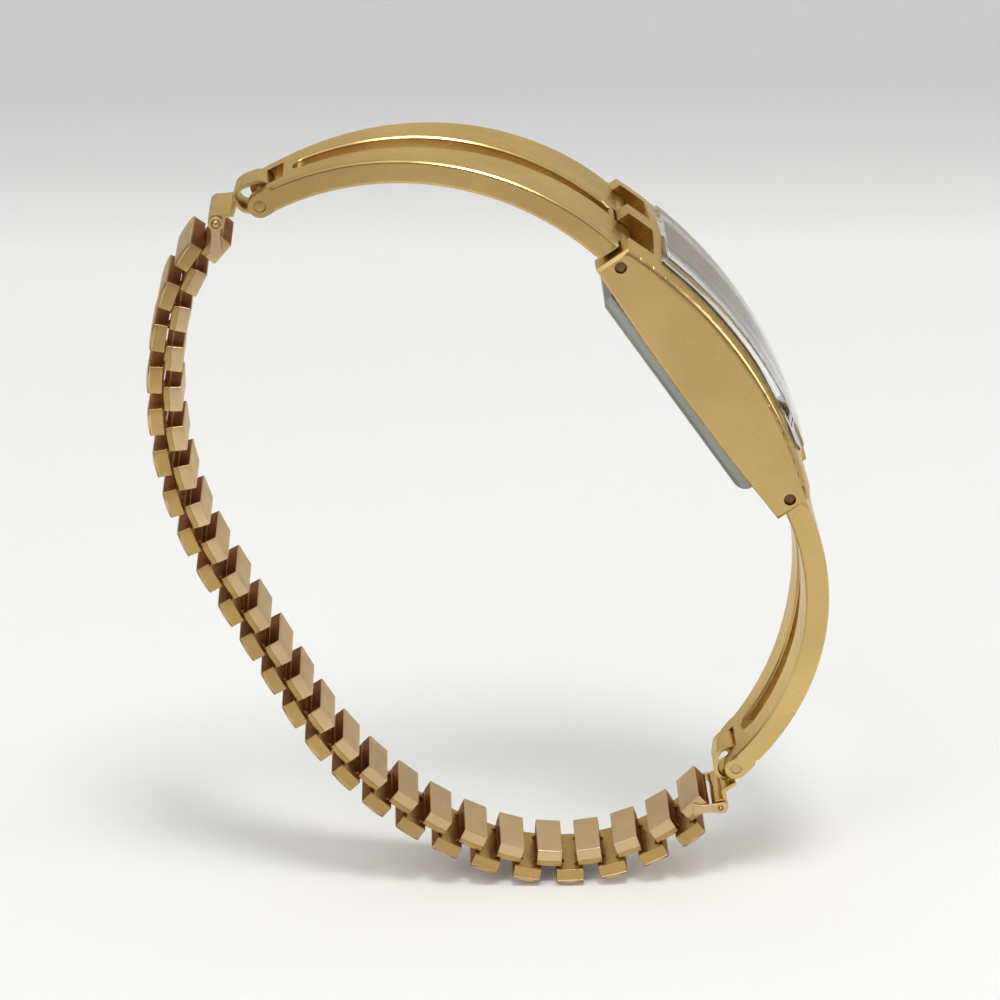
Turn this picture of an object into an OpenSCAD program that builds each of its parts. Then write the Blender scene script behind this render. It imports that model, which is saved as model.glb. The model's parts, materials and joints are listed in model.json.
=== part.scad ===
// Bangle watch on a stretch band: a long, crowned rectangular case, two slotted
// bangle arms hinged at the case ends, and an expansion band of staggered boxes
// that closes the loop behind the wrist.
// The origin is the middle of the loop. +Z is up, +Y is across the wrist and away
// from the side shown in front, and the loop lies in the XZ plane.

/* [Case] */
// Width of the case over its side walls
case_w = 17.2; // [16:0.1:20]
// Length of the case along its side walls
case_l = 23.7; // [23:0.1:27]
// Distance between the two lug pins
lug_span = 22; // [21.4:0.1:22.6]
// Height of the side walls above the lug pins, at mid length
wall_top = 2.95; // [2.6:0.05:3.6]
// Height of the crown line above the top of the side walls
crown_rise = 0.93; // [0.6:0.01:1.4]
// Radius of the long curve of the case top
top_r = 33; // [28:0.5:60]
// Radius of the case top across its width
across_r = 70; // [50:1:200]
// Rounding of the long top edges
edge_r = 0.5; // [0.2:0.05:0.8]
// Depth of the side walls below the lug pins
wall_low = 1.9; // [1.6:0.05:2.6]
// Radius of the slight belly under the side walls
belly_r = 214; // [150:1:400]
// Cut on the upright corners of the case
corner_cut = 0.25; // [0.1:0.05:0.5]
// Width of each of the three lug prongs
prong_w = 2.3; // [1.6:0.1:3]
// Distance from a lug pin back to the wall between the prongs
lug_inset = 1.25; // [1.15:0.05:1.4]
// Diameter of the lug pins
lug_pin_d = 0.84; // [0.7:0.02:0.9]
// Length of the movement room inside the case
room_l = 16.4; // [15.6:0.1:16.8]
// Width of the movement room inside the case
room_w = 11.8; // [11.2:0.1:12.2]

/* [Crystal] */
// Length of the crystal
crystal_l = 18; // [17.2:0.1:19]
// Width of the crystal
crystal_w = 12.8; // [12:0.1:13.4]
// Radius of the crystal across its width
crystal_across_r = 150; // [80:5:400]
// Thickness of the crystal
crystal_t = 1.1; // [0.8:0.05:1.5]
// Height of the crystal above the case top
crystal_rise = 0.3; // [0.1:0.05:0.6]
// Slope cut along the edges of the crystal
crystal_cut = 0.35; // [0.1:0.05:0.5]
// Thickness of the gasket under the crystal
gasket_t = 0.2; // [0.1:0.05:0.3]

/* [Dial and hands] */
// Height of the dial face above the lug pins
dial_z = 1.45; // [1.35:0.05:1.7]
// Thickness of the dial
dial_t = 0.25; // [0.15:0.05:0.35]
// Length of the minute hand from the centre
minute_l = 4.8; // [4:0.1:5]
// Length of the hour hand from the centre
hour_l = 3.4; // [2.5:0.1:3.6]
// Thickness of the hands
hand_t = 0.14; // [0.1:0.01:0.2]
// Length of an hour bar on the dial
bar_l = 1.1; // [0.7:0.1:1.4]

/* [Movement] */
// Thickness of the main plate
plate_t = 0.5; // [0.4:0.05:0.6]
// Module of the motion work teeth
tooth_m = 0.1; // [0.09:0.005:0.1]
// Diameter of the battery cell
cell_d = 6.8; // [5.8:0.1:6.8]
// Height of the battery cell
cell_h = 1.65; // [1.2:0.05:1.7]
// Diameter of the drive coil
coil_d = 1.5; // [1.1:0.1:1.6]
// Length of the drive coil
coil_l = 5.2; // [4:0.1:5.4]
// Diameter of the rotor magnet
rotor_d = 1.2; // [0.9:0.1:1.4]

/* [Case back] */
// Length of the case back
back_l = 18.3; // [17.8:0.1:18.9]
// Width of the case back
back_w = 14; // [13:0.1:15]
// Drop of the case back below the side walls
back_drop = 1.1; // [0.9:0.05:1.4]
// Radius of the rolled lower edge of the case back
back_roll = 1; // [0.6:0.05:1.2]
// Thickness of the case back plate
back_t = 0.55; // [0.4:0.05:0.7]

/* [Crown] */
// Diameter of the crown
crown_d = 3; // [2.4:0.1:3.4]
// Length of the crown
crown_l = 1.5; // [1.2:0.1:2]
// Diameter of the crown tube
tube_d = 1.6; // [1.4:0.05:1.8]
// Diameter of the stem
stem_d = 0.7; // [0.5:0.05:0.8]
// Height of the crown axis above the lug pins
crown_z = 0; // [-0.15:0.05:0.1]
// Grooves round the crown
crown_grooves = 20; // [12:1:28]

/* [Bangle arms] */
// Distance between the pins of the arm on the 12 o'clock side
arm_12_l = 26.1; // [25.5:0.1:26.6]
// Distance between the pins of the arm on the 6 o'clock side
arm_6_l = 24.7; // [24.2:0.1:25.2]
// Radius of the middle line of an arm
arm_r = 21.3; // [20.5:0.1:24]
// Thickness of an arm
arm_t = 1.75; // [1.5:0.05:1.9]
// Width of an arm at the case
arm_w = 15.2; // [14:0.1:15.8]
// Width of an arm at the band
arm_w_end = 6; // [5.8:0.1:6.6]
// Inward turn of the 12 o'clock arm from the line of the case
arm_12_turn = 48.4; // [46:0.1:50]
// Inward turn of the 6 o'clock arm from the line of the case
arm_6_turn = 41.9; // [40:0.1:44]
// Width of the slot in an arm at the case
slot_w = 1.5; // [1:0.1:2]
// Width of the slot in an arm at its widest
slot_w_mid = 2.6; // [2:0.1:3.2]
// Width of the slot in an arm at the band
slot_w_end = 2; // [1.4:0.1:2.4]
// Metal left between the full width end of an arm and its slot
slot_rim = 0.35; // [0.3:0.05:1]
// Diameter of the arm pins
arm_pin_d = 0.85; // [0.7:0.05:0.9]
// Width of the fork that takes the band connector
fork_w = 3.5; // [3.4:0.05:3.8]
// Radius of the round fork ends
ear_r = 0.86; // [0.8:0.02:1]
// Metal left between the fork and the slot of an arm
fork_bridge = 0.65; // [0.3:0.05:0.8]

/* [Connectors] */
// Distance between the arm pin and the link pin
connector_l = 3.5; // [3.4:0.05:3.7]
// Width of the connector between the fork ends
connector_w = 2.9; // [2.6:0.1:3]
// Width of the connector at the link pin
curl_w = 5.2; // [4.6:0.1:5.2]
// Thickness of the connector sheet
sheet_t = 0.28; // [0.25:0.01:0.3]
// Inner radius of the loop round the arm pin
loop_r = 0.85; // [0.8:0.01:0.95]
// Length that the loop is drawn out along the band
loop_run = 0.7; // [0.5:0.05:0.8]
// Radius inside the curl round the link pin
curl_r = 0.33; // [0.33:0.01:0.36]
// Inward turn of the 12 o'clock connector from its arm
connector_12_turn = 29.4; // [28:0.1:32]
// Outward turn of the 6 o'clock connector from its arm
connector_6_turn = 1.6; // [0:0.1:3]

/* [Stretch band] */
// Boxes in the outer row
link_count = 24; // [24:1:24]
// Width of the outer row
outer_w = 6.3; // [6:0.1:6.6]
// Width of the inner row
inner_w = 5.4; // [5.2:0.1:5.6]
// Length of an outer box along the band
outer_l = 2.15; // [1.9:0.05:2.3]
// Length of an inner box along the band
inner_l = 1.95; // [1.8:0.05:2.1]
// Thickness of an outer box
outer_t = 1.2; // [1.1:0.05:1.25]
// Thickness of an inner box
inner_t = 1.35; // [1.25:0.05:1.4]
// Gap between the two rows
row_gap = 0.09; // [0.06:0.01:0.12]
// Wall of the folded boxes
box_wall = 0.14; // [0.12:0.01:0.15]
// Width of the clip bars that tie the boxes
clip_w = 0.34; // [0.3:0.01:0.36]
// Thickness of the clip bars
clip_t = 0.3; // [0.2:0.05:0.35]
// Thickness of the leaf springs inside the boxes
leaf_t = 0.07; // [0.05:0.01:0.1]
// Room beside a clip bar where it slides through a box wall
slide_room = 0.3; // [0.25:0.01:0.32]
// Distance from a link pin to the first box, along the band
hook_along = 1.5; // [1.4:0.05:1.6]
// Distance from a link pin to the first box, across the rows
hook_in = 1.27; // [1.2:0.01:1.35]
// Diameter of the link pin at the 12 o'clock end
link_pin_12_d = 0.6; // [0.5:0.02:0.62]
// Diameter of the loose link pin at the 6 o'clock end
link_pin_6_d = 0.3; // [0.24:0.02:0.34]

/* [Band curve] */
// Turn of the band at each half link next to the 12 o'clock end
turn_end = 7.09; // [6.5:0.01:8]
// Half links that make the end turn
turn_end_n = 4; // [3:1:5]
// Turn at each half link over the first bend
turn_first = 3.21; // [3:0.01:3.5]
// Half links in the first bend
turn_first_n = 13; // [12:1:14]
// Half links in the straight stretch
straight_n = 8; // [7:1:9]
// Turn at each half link over the second bend
turn_second = 3.29; // [3:0.01:3.5]
// Half links in the second bend
turn_second_n = 12; // [11:1:13]
// Turn at each half link over the last bend
turn_last = 6.02; // [5.7:0.01:6.3]

/* [Place and fits] */
// Distance of the case middle to the right of the loop middle
head_x = 15.51; // [14:0.1:17]
// Height of the case middle over the loop middle
head_z = 12.28; // [11:0.1:14]
// Tilt of the case from level
head_tilt = 55; // [50:0.5:60]
// Radial play of a pin or shaft in its bore
fit = 0.03; // [0.02:0.005:0.04]
// Room between pieces that seat on each other without moving
seat = 0.02; // [0.01:0.005:0.03]
// Room between moving pieces
clear = 0.25; // [0.22:0.01:0.3]

/* [Hidden] */
$fn = 48;
eps = 0.01;
// The long curve of the case top and what follows it
axis_z = wall_top - top_r;
crown_top_r = top_r + crown_rise;
crystal_top_r = crown_top_r + crystal_rise;
crystal_low_r = crystal_top_r - crystal_t;
gasket_low_r = crystal_low_r - gasket_t;
end_wall = lug_span / 2 - lug_inset;
pocket_in = prong_w / 2;
pocket_out = case_w / 2 - prong_w;
knuckle_r = lug_inset - clear;
knuckle_w = pocket_out - pocket_in - 2 * clear;
arm_start = (case_l - lug_span) / 2 + clear;
dial_l = room_l - 2 * seat;
dial_w = room_w - 2 * seat;
ledge = 0.35;
window_l = room_l - 2 * ledge;
window_w = room_w - 2 * ledge;
// Levels inside the case
plate_z = dial_z - dial_t - 1.2;
motion_z = plate_z + plate_t;
room_floor = -wall_low;
back_low = -wall_low - back_drop;
back_inner = back_low + back_t;
bridge_z = plate_z - 1.5;
// Motion work: 10 on 30 and 8 on 32 leaves a ratio of 12
cannon_n = 10;
wheel_n = 30;
pinion_n = 8;
hour_n = 32;
motion_gap = tooth_m * (cannon_n + wheel_n) / 2;
tooth_face = 0.3;
cannon_bore = 0.16;
// Arms, connectors and the band
arm_12_angle = 180 - head_tilt + arm_12_turn;
arm_6_angle = -head_tilt - arm_6_turn;
connector_12_angle = arm_12_angle + connector_12_turn;
connector_6_angle = arm_6_angle + connector_6_turn;
function dir(a) = [cos(a), sin(a)];
head_c = [head_x, head_z];
lug_12 = head_c - lug_span / 2 * dir(-head_tilt);
lug_6 = head_c + lug_span / 2 * dir(-head_tilt);
joint_12 = lug_12 + arm_12_l * dir(arm_12_angle);
joint_6 = lug_6 + arm_6_l * dir(arm_6_angle);
link_pin_12 = joint_12 + connector_l * dir(connector_12_angle);
loop_lift = loop_r - arm_pin_d / 2 - fit;
loop_6 = joint_6 - 2 * loop_lift * quarter(dir(connector_6_angle));
link_pin_6 = loop_6 + connector_l * dir(connector_6_angle);
fork_reach = loop_r + sheet_t + 0.3;
curl_out = curl_r + sheet_t;
row_step = (outer_t + inner_t) / 2 + row_gap;
// The band runs in half links: an even one carries an inner box, an odd one an outer box
half_n = 2 * link_count;
function turn_at(k) =
    k < turn_end_n ? turn_end
    : k < turn_end_n + turn_first_n ? turn_first
    : k < turn_end_n + turn_first_n + straight_n ? 0
    : k < turn_end_n + turn_first_n + straight_n + turn_second_n ? turn_second
    : turn_last;
function sum_turns(k) = k <= 0 ? 0 : sum_turns(k - 1) + turn_at(k - 1);
turns = [for (k = [0 : half_n]) sum_turns(k)];
// From a link pin to the middle line between the rows, in the frame of the first box
hook_mid = hook_in - inner_t / 2 - row_gap / 2;
function raw_step(k) = dir((turns[k] + turns[k + 1]) / 2) / 2;
function add_steps(k) = k <= 0 ? [0, 0] : add_steps(k - 1) + raw_step(k - 1);
raw = [for (k = [0 : half_n]) add_steps(k)];
function quarter(v) = [-v[1], v[0]];
// The loose ends of the band hang on the two link pins, so its pitch and its first
// direction are solved from the distance between them
start_hook = hook_along * dir(turns[0]) + hook_mid * quarter(dir(turns[0]));
end_hook = hook_along * dir(turns[half_n]) - hook_mid * quarter(dir(turns[half_n]));
hooks = start_hook + end_hook;
reach = norm(link_pin_6 - link_pin_12);
chain = raw[half_n];
aa = chain * chain;
bb = 2 * chain * hooks;
cc = hooks * hooks - reach * reach;
pitch = (-bb + sqrt(bb * bb - 4 * aa * cc)) / (2 * aa);
whole = hooks + pitch * chain;
span = link_pin_6 - link_pin_12;
first_angle = atan2(span[1], span[0]) - atan2(whole[1], whole[0]);
function spin(v, a) = [v[0] * cos(a) - v[1] * sin(a), v[0] * sin(a) + v[1] * cos(a)];
function mid_at(k) = link_pin_12 + spin(start_hook + pitch * raw[k], first_angle);
function heading(k) = first_angle + turns[k];
outer_off = -(outer_t + row_gap) / 2;
inner_off = (inner_t + row_gap) / 2;
function two(i) = i < 10 ? str("0", i) : str(i);

HEAD_NODES = ["case_body", "crystal", "crystal_gasket", "dial", "hour_markers",
    "movement_ring", "main_plate", "train_bridge", "battery_cell", "battery_strap",
    "drive_coil", "stator", "rotor", "circuit_board", "case_back", "back_gasket",
    "crown_tube", "lug_pin_12", "lug_pin_6", "minute_hand", "cannon_pinion",
    "minute_wheel", "hour_hand", "hour_wheel", "pull_piece", "crown", "stem",
    "crown_gasket"];
BAND_NODES = ["bangle_arm_12", "arm_pin_12", "bangle_arm_6", "arm_pin_6",
    "connector_12", "connector_6", "end_link_12", "end_link_6"];

// Helpers

// Stands a flat outline up in the XZ plane, centred on the middle of the watch
module across(w) {
    rotate([90, 0, 0]) linear_extrude(w, center = true) children();
}

// A cylinder that lies across the wrist, along Y
module rod(d, w) {
    rotate([90, 0, 0]) cylinder(d = d, h = w, center = true);
}

// Puts children in the frame of the case: X to 6 o'clock, Z out of the dial
module in_case() {
    translate([head_x, 0, head_z]) rotate([0, head_tilt, 0]) children();
}

// Puts children at a point of the loop with X along a direction
module at(point, angle) {
    translate([point[0], 0, point[1]]) rotate([0, -angle, 0]) children();
}

// A plate with its middle at the origin, from z = low to z = high
module slab(l, w, low, high) {
    translate([-l / 2, -w / 2, low]) cube([l, w, high - low]);
}

// The same slab with its upright corners cut
module cut_slab(l, w, low, high, c) {
    translate([0, 0, low]) linear_extrude(high - low) polygon([
        [-l / 2 + c, -w / 2], [l / 2 - c, -w / 2], [l / 2, -w / 2 + c], [l / 2, w / 2 - c],
        [l / 2 - c, w / 2], [-l / 2 + c, w / 2], [-l / 2, w / 2 - c], [-l / 2, -w / 2 + c]]);
}

// A drum about the axis of the case top, which everything curved there follows
module drum(r, w) {
    translate([0, 0, axis_z]) rotate([90, 0, 0])
        cylinder(r = r, h = w, center = true, $fn = 200);
}

// Straight bar between two points of the XZ plane
module bar(a, b, w, t) {
    d = b - a;
    at((a + b) / 2, atan2(d[1], d[0])) cube([norm(d), t, w], center = true);
}

// Case

// Half section of the case top: flat wall, rounded edge, slight crown across
module top_section() {
    half = case_w / 2;
    intersection() {
        translate([crown_top_r - across_r, 0]) circle(across_r, $fn = 400);
        union() {
            translate([top_r - 7, -half]) square([7, case_w]);
            translate([top_r - eps, edge_r - half]) square([3, case_w - 2 * edge_r]);
            for (s = [-1, 1]) translate([top_r, s * (half - edge_r)]) intersection() {
                circle(edge_r, $fn = 32);
                translate([0, s > 0 ? 0 : -edge_r]) square(edge_r);
            }
        }
    }
}

module case_side() {
    intersection() {
        translate([-case_l / 2, -wall_low - 1]) square([case_l, wall_low + top_r]);
        translate([0, belly_r - wall_low]) circle(belly_r, $fn = 400);
    }
}

module case_blank() {
    intersection() {
        translate([0, 0, axis_z]) rotate([90, 0, 0]) rotate([0, 0, 65])
            rotate_extrude(angle = 50, $fn = 200) top_section();
        across(case_w + 1) case_side();
        cut_slab(case_l, case_w, -6, 8, corner_cut);
    }
}

// The openings between the prongs, one slab for each arm knuckle
module lug_pockets() {
    for (s = [-1, 1], t = [-1, 1]) {
        low = t > 0 ? pocket_in : -pocket_out;
        translate([s > 0 ? end_wall : -end_wall - 5, low, -5])
            cube([5, pocket_out - pocket_in, 12]);
    }
}

module crystal_seat() {
    difference() {
        slab(crystal_l + 2 * seat, crystal_w + 2 * seat, 0, 8);
        drum(gasket_low_r, case_w);
    }
}

module case_body() {
    color("goldenrod") in_case() difference() {
        case_blank();
        lug_pockets();
        crystal_seat();
        slab(room_l, room_w, -6, dial_z);
        slab(window_l, window_w, 0, 8);
        for (s = [-1, 1]) translate([s * lug_span / 2, 0, 0])
            rod(lug_pin_d + 2 * fit, case_w + 1);
        translate([0, case_w / 2, crown_z]) rod(tube_d + 2 * seat, case_w);
    }
}

module lug_pin(s) {
    color("silver") in_case() translate([s * lug_span / 2, 0, 0])
        rod(lug_pin_d, case_w - 2 * clear);
}

// Crystal, dial and hands

module crystal() {
    color([0.85, 0.88, 0.9, 0.4]) in_case() intersection() {
        difference() {
            translate([0, 0, axis_z]) rotate([90, 0, 0]) rotate([0, 0, 70])
                rotate_extrude(angle = 40, $fn = 200) crystal_section();
            drum(crystal_low_r, case_w);
        }
        slab(crystal_l, crystal_w, 0, 8);
    }
}

module crystal_section() {
    half = crystal_w / 2;
    r = crystal_across_r;
    top = crystal_top_r - (r - sqrt(r * r - half * half));
    intersection() {
        translate([crystal_top_r - r, 0]) circle(r, $fn = 400);
        polygon([
            [crystal_low_r - 1, -half], [crystal_low_r - 1, half], [top - crystal_cut, half],
            [top + 1, half - crystal_cut - 1], [top + 1, crystal_cut + 1 - half],
            [top - crystal_cut, -half]]);
    }
}

module crystal_gasket() {
    color("dimgray") in_case() difference() {
        intersection() {
            drum(crystal_low_r, crystal_w);
            slab(crystal_l, crystal_w, 0, 8);
        }
        drum(gasket_low_r, case_w);
        slab(window_l, window_w, -1, 9);
    }
}

module dial() {
    color([0.88, 0.88, 0.85]) in_case() difference() {
        slab(dial_l, dial_w, dial_z - dial_t, dial_z - seat);
        translate([0, 0, dial_z - 1]) cylinder(r = 0.62, h = 2);
    }
}

// Hour bars set round the rectangle of the dial, pointing at the centre
module hour_markers() {
    mark_x = window_l / 2 - 0.9;
    mark_y = window_w / 2 - 0.45;
    color("goldenrod") in_case() for (i = [0 : 11]) {
        a = 180 - 30 * i;
        m = max(abs(cos(a)) / mark_x, abs(sin(a)) / mark_y);
        long = i % 3 == 0 ? bar_l * 1.3 : bar_l;
        translate([0, 0, dial_z - seat]) rotate([0, 0, a])
            translate([1 / m - long, -0.13, 0]) cube([long, 0.26, 0.16]);
    }
}

// A hand that lies along -X at rest angle 0, with its boss on the centre
module hand(l, w, z, bore, turn) {
    translate([0, 0, z]) rotate([0, 0, turn]) difference() {
        union() {
            cylinder(r = w * 1.6, h = hand_t);
            linear_extrude(hand_t) polygon([
                [0.9, -w / 2], [0.9, w / 2], [-l + 0.6, w / 2], [-l, 0], [-l + 0.6, -w / 2]]);
        }
        translate([0, 0, -1]) cylinder(r = bore, h = 2);
    }
}

// Wheel with straight sided teeth, thinned for play
module toothed(n, h, phase) {
    pr = tooth_m * n / 2;
    linear_extrude(h) union() {
        circle(pr - tooth_m * 1.15, $fn = max(24, 2 * n));
        for (i = [0 : n - 1]) rotate(i * 360 / n + phase) polygon([
            [pr - tooth_m * 1.35, -tooth_m * 0.68], [pr, -tooth_m * 0.5],
            [pr + tooth_m * 0.6, -tooth_m * 0.22], [pr + tooth_m * 0.6, tooth_m * 0.22],
            [pr, tooth_m * 0.5], [pr - tooth_m * 1.35, tooth_m * 0.68]]);
    }
}

cannon_low = motion_z + 0.06;
pair_low = cannon_low + tooth_face + 0.05;
hour_tube_r = 0.5;
cannon_r = 0.34;
stub_r = 0.26;
hour_z = dial_z + 0.3;
minute_z = hour_z + hand_t + 0.2;

module cannon_pinion() {
    color("gold") in_case() difference() {
        union() {
            translate([0, 0, cannon_low]) toothed(cannon_n, tooth_face, 0);
            translate([0, 0, cannon_low]) cylinder(r = cannon_r, h = minute_z - cannon_low);
            translate([0, 0, cannon_low]) cylinder(r = stub_r, h = minute_z + hand_t - cannon_low);
        }
        translate([0, 0, motion_z - 1]) cylinder(r = cannon_bore, h = 9);
    }
}

module minute_hand() {
    color("goldenrod") in_case() hand(minute_l, 0.34, minute_z, stub_r + seat, -60);
}

module minute_wheel() {
    color("gold") in_case() translate([motion_gap, 0, 0]) difference() {
        union() {
            translate([0, 0, cannon_low]) toothed(wheel_n, tooth_face - 0.05, 6);
            translate([0, 0, cannon_low + tooth_face - 0.06]) toothed(pinion_n, 0.36, 0);
        }
        translate([0, 0, motion_z - 1]) cylinder(r = cannon_bore + fit, h = 9);
    }
}

module hour_wheel() {
    color("gold") in_case() difference() {
        union() {
            translate([0, 0, pair_low]) toothed(hour_n, 0.22, 180 / hour_n);
            translate([0, 0, pair_low])
                cylinder(r = hour_tube_r, h = hour_z + hand_t - pair_low);
        }
        translate([0, 0, motion_z - 1]) cylinder(r = cannon_r + fit, h = 9);
    }
}

module hour_hand() {
    color("goldenrod") in_case() hand(hour_l, 0.44, hour_z, hour_tube_r + seat, 55);
}

// Movement

plate_l = room_l - 1.5;
plate_w = room_w - 1.5;
cell_x = plate_l / 2 - cell_d / 2 - 0.3;
cell_top = plate_z - 0.02;
cell_low = cell_top - cell_h;
pillars = [[0.5 - plate_l / 2, plate_w / 2 - 0.5], [0.5 - plate_l / 2, -2.6],
    [-1.3, plate_w / 2 - 0.5]];
rotor_x = -3.3;
rotor_y = 0.6;
coil_x = -4.1;
coil_y = -plate_w / 2 + coil_d / 2 + 0.25;
coil_z = plate_z - 0.5 - coil_d / 2;

module main_plate() {
    color("silver") in_case() difference() {
        union() {
            slab(plate_l, plate_w, plate_z, motion_z);
            translate([motion_gap, 0, motion_z - eps])
                cylinder(r = cannon_bore, h = dial_z - dial_t - motion_z - seat);
            translate([0, 0, motion_z - eps]) cylinder(r = cannon_bore - fit, h = 1.3);
            for (p = pillars) translate([p[0], p[1], bridge_z])
                cylinder(r = 0.35, h = plate_z - bridge_z + eps);
        }
        translate([rotor_x, rotor_y, plate_z - eps]) cylinder(r = 0.15 + fit, h = 0.3);
        translate([0, stem_end, crown_z]) rotate([-90, 0, 0])
            cylinder(d = stem_d + 2 * clear, h = plate_w);
    }
}

module train_bridge() {
    color("silver") in_case() difference() {
        translate([-plate_l / 2, -3.1, bridge_z - 0.3])
            cube([6.6, plate_w / 2 + 3.1, 0.3 - seat]);
        translate([rotor_x, rotor_y, bridge_z - 1]) cylinder(r = 0.15 + fit, h = 2);
    }
}

module movement_ring() {
    color([0.9, 0.9, 0.85]) in_case() difference() {
        slab(room_l - 2 * seat, room_w - 2 * seat, room_floor + 0.35, dial_z - dial_t);
        slab(plate_l + 2 * seat, plate_w + 2 * seat, -6, 8);
        translate([0, room_w / 2, crown_z]) rod(stem_d + 2 * clear, 4);
    }
}

module battery_cell() {
    color("silver") in_case() translate([cell_x, 0, cell_low]) {
        cylinder(d = cell_d, h = cell_h * 0.8);
        cylinder(d = cell_d * 0.86, h = cell_h);
    }
}

// Flat spring strap under the cell
module battery_strap() {
    color("silver") in_case() translate([cell_x, 0, cell_low - 0.12 - seat]) difference() {
        translate([-cell_d / 2 + 0.2, -plate_w / 2, 0]) cube([cell_d - 0.4, plate_w, 0.12]);
        for (s = [-1, 1]) translate([-cell_d / 4, s * 2.6 - 0.5, -1]) cube([cell_d / 2, 1, 2]);
    }
}

module drive_coil() {
    color("chocolate") in_case() translate([coil_x, coil_y, coil_z]) rotate([0, 90, 0]) {
        cylinder(d = coil_d, h = coil_l - 0.8, center = true);
        cylinder(d = 0.5, h = coil_l, center = true);
    }
}

module stator() {
    color("gray") in_case() difference() {
        translate([-6.3, coil_y - coil_d / 2, plate_z - 0.4])
            cube([5, 1.75 - coil_y + coil_d / 2, 0.3]);
        translate([rotor_x, rotor_y, plate_z - 2]) cylinder(d = rotor_d + 0.5, h = 3);
    }
}

module rotor() {
    color("dimgray") in_case() translate([rotor_x, rotor_y, 0]) {
        translate([0, 0, plate_z - 0.75]) cylinder(d = rotor_d, h = 0.7);
        translate([0, 0, bridge_z - 0.2]) cylinder(r = 0.15, h = plate_z - bridge_z + 0.4);
    }
}

module circuit_board() {
    color("darkgreen") in_case() {
        translate([-6.25, 1.95, plate_z - 0.95]) cube([4.35, plate_w / 2 - 2.05, 0.25]);
        translate([-5.4, 2.6, plate_z - 0.95 - 0.4]) cube([1.8, 1.6, 0.4 + eps]);
    }
}

// Case back

module back_side(l) {
    r = back_roll;
    top = -wall_low;
    intersection() {
        translate([-l / 2, back_low]) square([l, back_drop - 0.06]);
        union() {
            translate([-l / 2 + r, back_low]) square([l - 2 * r, back_drop]);
            for (s = [-1, 1]) translate([s * (l / 2 - r), top - 0.12]) circle(r);
        }
    }
}

module case_back() {
    rim_l = room_l - 2 * seat;
    rim_w = room_w - 2 * seat;
    color("lightgray") in_case() difference() {
        union() {
            intersection() {
                across(back_w) back_side(back_l);
                rotate([0, 0, 90]) across(back_l) back_side(back_w);
            }
            slab(rim_l, rim_w, -wall_low - 0.2, room_floor + 0.3);
        }
        slab(rim_l - 1.4, rim_w - 1.4, back_inner, 0);
        gasket_ring(-wall_low - 0.2, 0, seat);
    }
}

module gasket_ring(low, high, extra) {
    difference() {
        slab(room_l + 1 + 2 * extra, room_w + 1 + 2 * extra, low, high);
        slab(room_l + 0.2 - 2 * extra, room_w + 0.2 - 2 * extra, low - 1, high + 1);
    }
}

module back_gasket() {
    color("dimgray") in_case() gasket_ring(-wall_low - 0.19, -wall_low - 0.03, 0);
}

// Crown, on the far side at 3 o'clock

crown_y = case_w / 2 + clear;
stem_end = plate_w / 2 - 1.9;
pull_y = plate_w / 2 - 1.1;
tube_in = room_w / 2 + 0.1;

module on_stem() {
    in_case() translate([0, 0, crown_z]) rotate([-90, 0, 0]) children();
}

module crown_tube() {
    color("silver") on_stem() difference() {
        translate([0, 0, tube_in]) cylinder(d = tube_d, h = case_w / 2 - tube_in + 0.1);
        cylinder(d = stem_d + 2 * fit, h = case_w);
    }
}

module crown() {
    color("goldenrod") on_stem() translate([0, 0, crown_y]) difference() {
        cylinder(d = crown_d, h = crown_l);
        for (i = [0 : crown_grooves - 1]) rotate(i * 360 / crown_grooves)
            translate([crown_d / 2, 0, -1]) rotate(45)
                cube([0.22, 0.22, 2 * crown_l + 2], center = true);
        translate([0, 0, -1]) cylinder(d = stem_d + 2 * seat, h = 2);
        translate([0, 0, -1]) cylinder(d = tube_d + 0.3, h = 1.4);
    }
}

module stem() {
    color("silver") on_stem() difference() {
        translate([0, 0, stem_end]) cylinder(d = stem_d, h = crown_y + 1 - seat - stem_end);
        translate([0, 0, pull_y]) difference() {
            cylinder(d = stem_d + 1, h = 0.3);
            translate([0, 0, -1]) cylinder(d = stem_d - 0.3, h = 3);
        }
    }
}

// Setting piece: a fork plate that sits in the groove of the stem
module pull_piece() {
    way = stem_d - 0.3 + 2 * fit;
    color("silver") on_stem() difference() {
        translate([-0.5, -0.25, pull_y + 0.05]) cube([1, 1.1, 0.2]);
        cylinder(d = way, h = case_w);
        translate([-way / 2, -2, 0]) cube([way, 2, 20]);
    }
}

module crown_gasket() {
    color("dimgray") on_stem() translate([0, 0, crown_y + 0.14]) difference() {
        cylinder(d = tube_d + 0.3 - 2 * seat, h = 0.22);
        translate([0, 0, -1]) cylinder(d = stem_d + 2 * seat, h = 2);
    }
}

// Bangle arms
// Frame of an arm: origin on the lug pin, X to the arm pin, Z outward

function arm_drop(l) = sqrt(arm_r * arm_r - l * l / 4);
function arm_centre(l) = [l / 2, -arm_drop(l)];
// Direction from the arc centre to a point at distance s along the arm
function arm_turn(l, s) = 90 + asin(l / 2 / arm_r) - s / arm_r * 180 / PI;
function arm_length(l) = 2 * asin(l / 2 / arm_r) * arm_r * PI / 180;

// Ring sector of the arm from the lug pin to the arm pin
module arm_ring(l) {
    c = arm_centre(l);
    intersection() {
        translate(c) difference() {
            circle(arm_r + arm_t / 2, $fn = 300);
            circle(arm_r - arm_t / 2, $fn = 300);
        }
        polygon([c, c + 40 * dir(arm_turn(l, 0)), c + 60 * dir(90),
            c + 40 * dir(arm_turn(l, arm_length(l)))]);
    }
}

// Half plane that starts at a distance from the lug pin along the line of the case
module past(turn, d) {
    rotate(turn) translate([d, -40]) square([80, 80]);
}

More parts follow.
